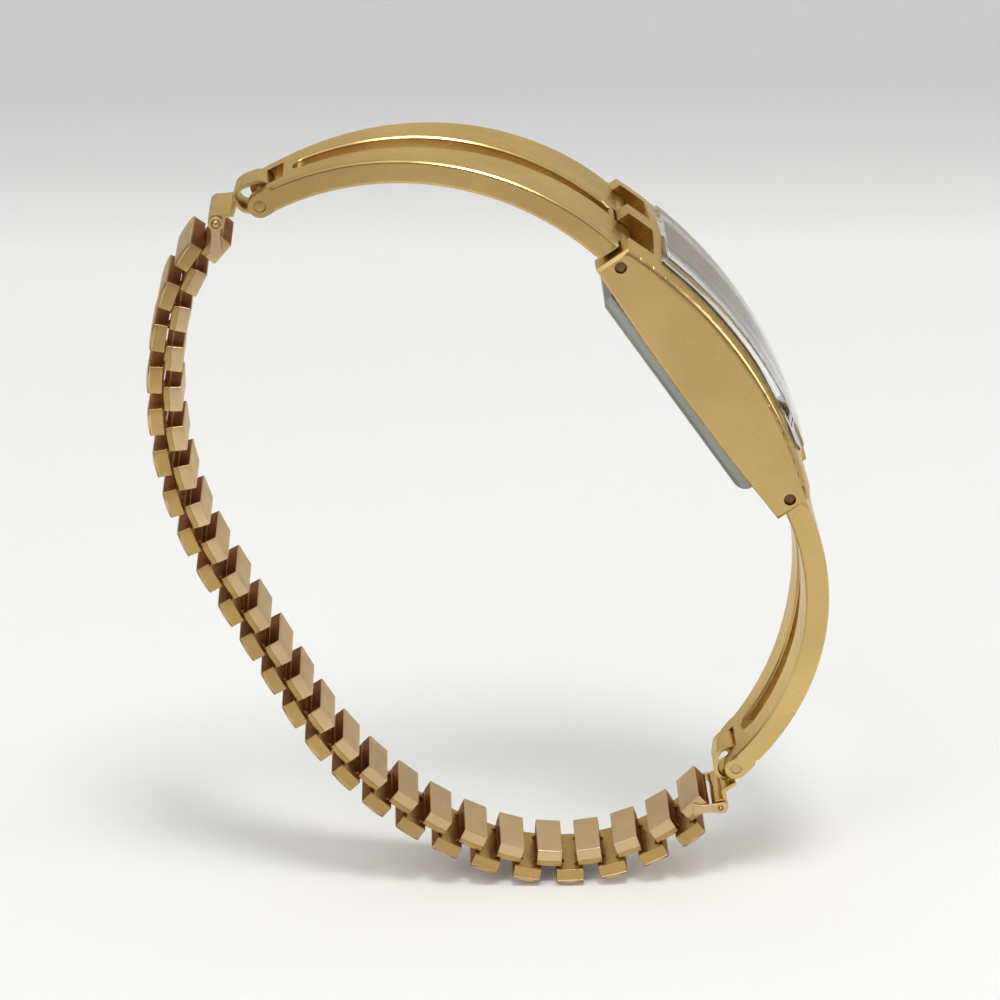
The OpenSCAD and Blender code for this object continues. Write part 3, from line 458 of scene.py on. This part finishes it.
# %% Rounded box
def rounded_box(size, radius, crown=0.0):
    """Points and faces of a box with rounded edges and a crowned lower side.
    The surface of a plain cube is cut by a lattice of lines, close together at the
    edges. Each point q has a nearest point c in the box shrunk by the radius, and
    moves to c plus the radius times the unit vector from c to q. The lower side then
    rises towards both ends of X by crown times the square of the way out."""
    h = np.array(size) / 2
    lines = [np.concatenate([-x + radius * (1 - np.tan(np.radians([45, 22.5, 0]))),
                             [-0.5 * (x - radius), 0.0, 0.5 * (x - radius)],
                             x - radius * (1 - np.tan(np.radians([0, 22.5, 45])))]) for x in h]
    n = len(lines[0])
    points, faces = [], []
    a, b = np.meshgrid(np.arange(n), np.arange(n), indexing="ij")
    for axis in range(3):
        for end in (0, n - 1):
            index = np.zeros((n, n, 3), int)
            index[..., axis] = end
            index[..., (axis + 1) % 3] = a
            index[..., (axis + 2) % 3] = b
            quad = np.stack([index[:-1, :-1], index[1:, :-1], index[1:, 1:], index[:-1, 1:]], 2)
            quad = quad if end else quad[:, :, ::-1]
            faces.append((quad @ [n * n, n, 1]).reshape(-1, 4))
    faces = np.concatenate(faces)
    used, faces = np.unique(faces, return_inverse=True)
    grid = np.stack([used // (n * n), used // n % n, used % n], -1)
    q = np.stack([lines[i][grid[:, i]] for i in range(3)], -1)
    c = np.clip(q, radius - h, h - radius)
    out = q - c
    length = np.linalg.norm(out, axis=1, keepdims=True)
    q = c + radius * out / np.maximum(length, 1e-12)
    low = q[:, 2] < 0
    q[low, 2] += crown * (q[low, 0] / h[0]) ** 2 + 0.3 * crown * (q[low, 1] / h[1]) ** 6
    return q, faces.reshape(-1, 4)


def placed(shape, at, angle):
    """Turns a shape in the XZ plane so that X points along the angle, and moves it."""
    points, faces = shape
    x, y, z = points.T
    u, w = unit(angle), unit(angle + 90)
    return x[:, None] * u + y[:, None] * np.array([0, 1.0, 0]) + z[:, None] * w + at, faces


def joined(shapes):
    """Several shapes as one list of points and one of faces."""
    starts = np.cumsum([0] + [len(p) for p, _ in shapes[:-1]])
    return (np.concatenate([p for p, _ in shapes]),
            np.concatenate([f + s for (_, f), s in zip(shapes, starts)]))


def end_walls(shape):
    """True for each face that lies flat on one of the two X sides of a shape."""
    points, faces = shape
    x = points[:, 0][faces]
    return (np.ptp(x, axis=1) < 1e-9) & (abs(x[:, 0]) > abs(points[:, 0]).max() - 1e-9)


def piece(name, parts, body, stands_for=()):
    """Makes one object from a list of (shape, finish) and gives it to a body. A part
    may add a second finish and the faces that wear it."""
    parts = [part if len(part) == 4 else (*part, part[1], np.zeros(len(part[0][1]), bool)) for part in parts]
    points, faces = joined([part[0] for part in parts])
    mesh = bpy.data.meshes.new(name)
    mesh.from_pydata(points, [], faces.tolist())
    used = list(dict.fromkeys(finish for part in parts for finish in part[1:3]))
    for finish in used:
        mesh.materials.append(finishes[finish])
    which = np.concatenate([np.where(mask, used.index(b), used.index(a)) for _, a, b, mask in parts])
    mesh.polygons.foreach_set("material_index", which.astype(np.int32))
    mesh.polygons.foreach_set("use_smooth", np.ones(len(which), bool))
    obj = bpy.data.objects.new(name, mesh)
    bpy.context.collection.objects.link(obj)
    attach(obj, body)
    if stands_for:
        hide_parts(*stands_for)
    return obj


test_box = rounded_box((1, 1, 1), 0.1)
print("a rounded box has", len(test_box[0]), "points and", len(test_box[1]), "faces")

# %% Sizes of the boxes
MM = 0.001
outer = np.array((2.15, 6.3, 1.2)) * MM
inner = np.array((1.95, 5.4, 1.35)) * MM
gap = 0.09 * MM
outer_shift = -(outer[2] + gap) / 2
inner_shift = (inner[2] + gap) / 2
# The body of an outer box is smaller than the whole by core_inset, so its cap stands
# proud. A lid takes lid_room of the height of its box, and laps a little into the body.
core_edge, core_inset = 0.05 * MM, np.array((0.05, 0.09, 0.2)) * MM
cap_thick, cap_edge, cap_crown = 0.34 * MM, 0.13 * MM, 0.09 * MM
inner_edge, lid_edge, lid_room = 0.09 * MM, 0.06 * MM, 0.4 * MM
lid_thick, lid_inset = 0.44 * MM, np.array((0.04, 0.08)) * MM
clip, clip_edge = np.array((0.3, 0.34)) * MM, 0.04 * MM
fixed_y, loose_y = 2.21 * MM, 1.56 * MM
print("the outer boxes are", np.round(outer / MM, 2), "mm and the inner ones", np.round(inner / MM, 2))


# %% Boxes and clip bars
def outer_box(k):
    """Body, crowned cap with a proud rim, and place of the outer box at half step k."""
    up_by = unit(heading[k] + 90)
    at = middle[k] + outer_shift * up_by
    core = rounded_box(outer - core_inset, core_edge)
    cap = rounded_box((outer[0], outer[1], cap_thick), cap_edge, cap_crown)
    core_at, cap_at = at + core_inset[2] / 2 * up_by, at - (outer[2] - cap_thick) / 2 * up_by
    # The end walls of the body get the dark gold of painted shade
    return [(placed(core, core_at, heading[k]), "gold_boxes", "wall_gold", end_walls(core)),
            (placed(cap, cap_at, heading[k]), "cap_gold")]


def inner_box(k):
    """Body and thin lid of the inner box at half step k."""
    up_by = unit(heading[k] + 90)
    at = middle[k] + inner_shift * up_by
    core = rounded_box((inner[0], inner[1], inner[2] - lid_room), inner_edge)
    lid = rounded_box((inner[0] - lid_inset[0], inner[1] - lid_inset[1], lid_thick), lid_edge)
    core_at, lid_at = at + lid_room / 2 * up_by, at - (inner[2] - lid_thick) / 2 * up_by
    # The end walls of body and lid get the dark gold of painted shade
    return [(placed(core, core_at, heading[k]), "cap_gold", "wall_gold", end_walls(core)),
            (placed(lid, lid_at, heading[k]), "gold_boxes", "wall_gold", end_walls(lid))]


def clip_bars(a, b, y):
    """Two clip bars from point a to point b, one each side at distance y."""
    way = b - a
    angle = np.degrees(np.arctan2(way[2], way[0]))
    bar = rounded_box((np.linalg.norm(way), clip[0], clip[1]), clip_edge)
    # The clip bars get the dark gold of painted shade
    return [(placed(bar, (a + b) / 2 + np.array([0, s * y, 0]), angle), "wall_gold") for s in (-1, 1)]


# %% Links of the band
outer_c = middle + outer_shift * unit(heading + 90)
inner_c = middle + inner_shift * unit(heading + 90)
for i in range(1, COUNT + 1):
    k = 2 * i - 1
    parts = outer_box(k) + clip_bars(outer_c[k], inner_c[k + 1], fixed_y)
    if i < COUNT:
        parts += inner_box(k + 1) + clip_bars(inner_c[k + 1], outer_c[k + 2], loose_y)
    piece("band_box_%02d" % i, parts, "box_%02d" % i, ["link_%02d" % i])
print("built", COUNT, "links of the band")

# %% [markdown]
# ## End boxes
# The first and the last inner box carry the link pins. A small cheek plate on each
# side runs from the box to the pin, narrow at its waist and round at the pin. It is
# a flat outline pushed to a thickness, whose half width is a smooth function of the
# way along it.

# %% Pins
def rod(at, diameter, length, count=32):
    """A closed cylinder across the band: rings at both ends, each capped by quads
    that meet on its middle line."""
    a = np.linspace(0, 2 * np.pi, count, endpoint=False)
    levels = np.array([(0.8, -0.5), (1.0, -0.47), (1.0, 0.47), (0.8, 0.5)])
    ring = np.stack([np.cos(a), np.sin(a)], -1) * diameter / 2
    points = np.concatenate([np.stack([ring[:, 0] * r, np.full(count, y * length), ring[:, 1] * r], -1)
                             for r, y in levels])
    i, j = np.meshgrid(np.arange(len(levels) - 1), np.arange(count), indexing="ij")
    after = (j + 1) % count
    sides = np.stack([i * count + j, (i + 1) * count + j, (i + 1) * count + after, i * count + after], -1)
    k = np.arange(count // 2 - 1)
    lid = np.stack([k, k + 1, count - 2 - k, count - 1 - k], -1)
    faces = np.concatenate([sides.reshape(-1, 4), lid, lid[:, ::-1] + (len(levels) - 1) * count])
    return points + at, faces


pin_12 = np.array(joints["band_end_swing"]["pos_m"])
# The last pin lies past the middle of the last box and outwards from it
past, outwards = 1.5 * MM, 1.27 * MM
pin_6 = inner_c[-1] + past * unit(heading[-1]) - outwards * unit(heading[-1] + 90)
print("link pins at", np.round(pin_12 * 1000, 2), "and", np.round(pin_6 * 1000, 2), "mm")

# %% End boxes
def flat_plate(outline, thick, y):
    """Outline in XZ pushed to a thickness about y, closed by two many sided faces."""
    n = len(outline)
    near = np.stack([outline[:, 0], np.full(n, y - thick / 2), outline[:, 1]], -1)
    return np.concatenate([near, near + [0, thick, 0]]), n


pin_long, sleeve_long, sleeve_wall = 6.0 * MM, 5.86 * MM, 0.12 * MM
cheek_y, cheek_thick, cheek_edge = 2.79 * MM, 0.2 * MM, 0.04 * MM
cheek_round, cheek_start, cheek_end = 0.56 * MM, 0.25 * MM, 0.1 * MM
cheek_half, cheek_waist = 0.40 * MM, 0.12 * MM


def end_box(name, k, pin, pin_wide, body, node, bars):
    """One end box at half step k: rounded inner box, its pin in a sleeve, and a cheek
    plate on each side. A plate's half width falls by a half sine wave to its waist and
    grows evenly towards the box, and its round end is an arc about the pin."""
    # The sleeve of the pin gets the dark gold of painted shade
    parts = inner_box(k) + bars + [(rod(pin, pin_wide, pin_long), "pin_gold"),
                                   (rod(pin, pin_wide + 2 * sleeve_wall, sleeve_long), "wall_gold")]
    piece(name, parts, body, [node])
    way = inner_c[k] - pin
    length = np.linalg.norm(way)
    u, w = way / length, np.cross([0, -1, 0], way / length)
    s = np.linspace(0, 1, 9)
    a = np.radians(np.linspace(125, 235, 12))
    wide = cheek_half + cheek_waist * (s - np.sin(np.pi * s))
    along = cheek_start + s * (length - cheek_end)
    x = np.concatenate([cheek_round * np.cos(a), along, along[::-1]])
    z = np.concatenate([cheek_round * np.sin(a), -wide, wide[::-1]])
    outline = pin[None, :] + x[:, None] * u + z[:, None] * w
    for sign in (-1, 1):
        points, n = flat_plate(outline[:, [0, 2]], cheek_thick, sign * cheek_y)
        ring = np.arange(n)
        after = (ring + 1) % n
        mesh = bpy.data.meshes.new("%s_cheek_%d" % (name, sign > 0))
        faces = [list(ring), list(ring[::-1] + n)] + np.stack([ring, ring + n, after + n, after], -1).tolist()
        mesh.from_pydata(points, [], faces)
        mesh.materials.append(finishes["cap_gold"])
        plate = bpy.data.objects.new(mesh.name, mesh)
        bpy.context.collection.objects.link(plate)
        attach(plate, body)
        soften(plate, cheek_edge)


end_box("end_box_12", 0, pin_12, 0.6 * MM, "band_end_12", "end_link_12",
        clip_bars(inner_c[0], outer_c[1], loose_y))
end_box("end_box_6", 2 * COUNT, pin_6, 0.3 * MM, "box_24", "end_link_6", [])
print("two end boxes with their cheeks")

# %% [markdown]
# ## Print on the dial
# The dial is pale and plain, with sixty fine minute marks printed near its edge. On a
# rectangular dial they follow the edge: each mark lies where a ray from the centre
# meets a smaller rectangle. They are thin bars, all made in one array.

# %% Minute marks
def minute_marks(count, half_long, half_wide, long, wide, thick):
    """Bars on the edge of a rectangle. The ray at angle a meets the rectangle at a
    distance of one over the larger of cos a over its half length and sin a over its
    half width. A bar is eight corners turned by a and moved out along the ray."""
    a = np.linspace(0, 2 * np.pi, count, endpoint=False)
    far = 1 / np.maximum(abs(np.cos(a)) / half_long, abs(np.sin(a)) / half_wide)
    corner = np.array([(x, y, z) for x in (-1, 0) for y in (-0.5, 0.5) for z in (0, 1)])
    box = corner * [long, wide, thick]
    x = far[:, None] + box[:, 0]
    points = np.stack([x * np.cos(a)[:, None] - box[:, 1] * np.sin(a)[:, None],
                       x * np.sin(a)[:, None] + box[:, 1] * np.cos(a)[:, None],
                       np.broadcast_to(box[:, 2], x.shape)], -1).reshape(-1, 3)
    quads = np.array([(0, 1, 3, 2), (4, 6, 7, 5), (0, 4, 5, 1), (2, 3, 7, 6), (1, 5, 7, 3), (0, 2, 6, 4)])
    faces = (quads[None] + 8 * np.arange(count)[:, None, None]).reshape(-1, 4)
    return points, faces


case_angle, dial_face = -55.0, 1.431 * MM
head_u, head_v = unit(case_angle), unit(case_angle + 90)
head_centre = np.array(joints["minute_turn"]["pos_m"])
finishes["print"] = plain("dial_print", (0.05, 0.05, 0.05), (0.08, 0.08, 0.08), 0.5).material
points, faces = minute_marks(count=60, half_long=7.55 * MM, half_wide=5.3 * MM,
                             long=0.3 * MM, wide=0.06 * MM, thick=0.012 * MM)
on_dial = points[:, :1] * head_u + points[:, 1:2] * np.array([0, -1.0, 0]) + points[:, 2:] * head_v
on_dial = on_dial + head_centre + dial_face * head_v
piece("minute_marks", [((on_dial, faces[:, ::-1]), "print")], "head", ())
print("sixty minute marks on the dial")

# %% [markdown]
# ## Room and light
# Polished metal shows the room it stands in, so the light is mostly a large soft
# room: pale above, a little darker at the sides. A broad lamp from the front left
# models the satin side. A small one overhead and a small one at the right draw the
# bright lines on the edges of the arms and of the case.
# The floor is pale and keeps the shadow of the watch. Its front part, which only the
# polished sides see, is darker, and so is the lower part of the wall behind.

# %% Lamps
def lamp(name, place, target, size, watts, tone):
    """An area lamp at a place in metres that faces a target."""
    data = bpy.data.lights.new(name, "AREA")
    data.shape, data.size, data.energy, data.color = "DISK", size, watts, tone
    obj = bpy.data.objects.new(name, data)
    way = Vector(target) - Vector(place)
    obj.rotation_euler = way.to_track_quat("-Z", "Y").to_euler()
    obj.location = place
    bpy.context.collection.objects.link(obj)


warm, soft_white = (1.0, 0.98, 0.94), (1.0, 0.98, 0.95)
lamp("key", place=(-0.25, -0.35, 0.45), target=(0, 0, 0), size=0.35, watts=0.8, tone=soft_white)
lamp("edge", place=(0.03, -0.16, 0.45), target=(0, 0, 0), size=0.14, watts=0.9, tone=warm)
lamp("rim", place=(0.45, -0.095, 0.14), target=(0.02, 0, 0.01), size=0.18, watts=0.45, tone=warm)
print("three lamps")

# %% Floor
pale = Finish("pale_floor")
pale.set(Roughness=0.7, Specular_IOR_Level=0.1)
depth = pale.add("ShaderNodeSeparateXYZ")
pale.join(pale.place, depth.inputs[0])
far = pale.remap(depth.outputs["Y"], 0.155, 0.205, 0.0, 1.0)
high = pale.remap(depth.outputs["Z"], 0.0, 0.08, 0.0, 1.0)
wall = pale.blend(high, (0.57, 0.585, 0.585), (0.76, 0.76, 0.75))
near = pale.remap(depth.outputs["Y"], -0.16, -0.1, 0.0, 1.0)
table = pale.blend(near, (0.5, 0.5, 0.5), (0.83, 0.84, 0.84))
pale.join(pale.blend(far, table, wall), pale.shader.inputs["Base Color"])
rays = pale.add("ShaderNodeLightPath")
seen_by = rays.outputs["Is Camera Ray"]
for kind in ("Is Glossy Ray", "Is Transmission Ray"):
    either = pale.add("ShaderNodeMath")
    either.operation = "MAXIMUM"
    pale.join(seen_by, either.inputs[0])
    pale.join(rays.outputs[kind], either.inputs[1])
    seen_by = either.outputs[0]
pale.set(Emission_Color=(1, 1, 1, 1))
pale.join(pale.remap(seen_by, 0.0, 1.0, 0.0, 0.06), pale.shader.inputs["Emission Strength"])
level = cad_low[2] - 0.2 * MM
front, bend_start, bend_radius, top, half_wide = -1.2, 0.17, 0.15, 1.0, 1.5
s = np.linspace(0, np.pi / 2, 17)
curve = np.stack([bend_start + bend_radius * np.sin(s), level + bend_radius * (1 - np.cos(s))], -1)
profile = np.concatenate([[(front, level)], curve, [(bend_start + bend_radius, top)]])
rows = np.concatenate([np.insert(profile, 0, x, axis=1) for x in (-half_wide, half_wide)])
n = len(profile)
i = np.arange(n - 1)
ground = bpy.data.meshes.new("floor")
ground.from_pydata(rows, [], np.stack([i, i + n, i + n + 1, i + 1], -1).tolist())
ground.polygons.foreach_set("use_smooth", np.ones(n - 1, bool))
ground.materials.append(pale.material)
floor = bpy.data.objects.new("floor", ground)
bpy.context.collection.objects.link(floor)
print("floor at", round(level * 1000, 2), "mm")

# %% World
world = bpy.data.worlds.new("room")
world.use_nodes = True
bpy.context.scene.world = world
tree = world.node_tree
back = tree.nodes["Background"]
coord = tree.nodes.new("ShaderNodeTexCoord")
split = tree.nodes.new("ShaderNodeSeparateXYZ")
ramp = tree.nodes.new("ShaderNodeValToRGB")
tree.links.new(coord.outputs["Generated"], split.inputs[0])
shift = tree.nodes.new("ShaderNodeMapRange")
shift.inputs["From Min"].default_value = -1.0
tree.links.new(split.outputs["Z"], shift.inputs["Value"])
tree.links.new(shift.outputs["Result"], ramp.inputs["Fac"])
stops = ramp.color_ramp.elements
stops[0].position, stops[0].color = 0.0, (0.55, 0.55, 0.55, 1)
stops[1].position, stops[1].color = 1.0, (0.8, 0.8, 0.8, 1)
for position, value in ((0.47, 0.5), (0.5, 0.15), (0.6, 0.2), (0.75, 0.5)):
    stop = stops.new(position)
    stop.color = (value, value, value, 1)
path = tree.nodes.new("ShaderNodeLightPath")
seen = tree.nodes.new("ShaderNodeMix")
seen.data_type = "RGBA"
# The camera sees a pale grey in place of the room
seen.inputs[7].default_value = (0.68, 0.69, 0.69, 1)
tree.links.new(path.outputs["Is Camera Ray"], seen.inputs["Factor"])
tree.links.new(ramp.outputs["Color"], seen.inputs[6])
tree.links.new(seen.outputs[2], back.inputs["Color"])
print("the world is darkest at the horizon, with", len(stops), "stops from below to above")
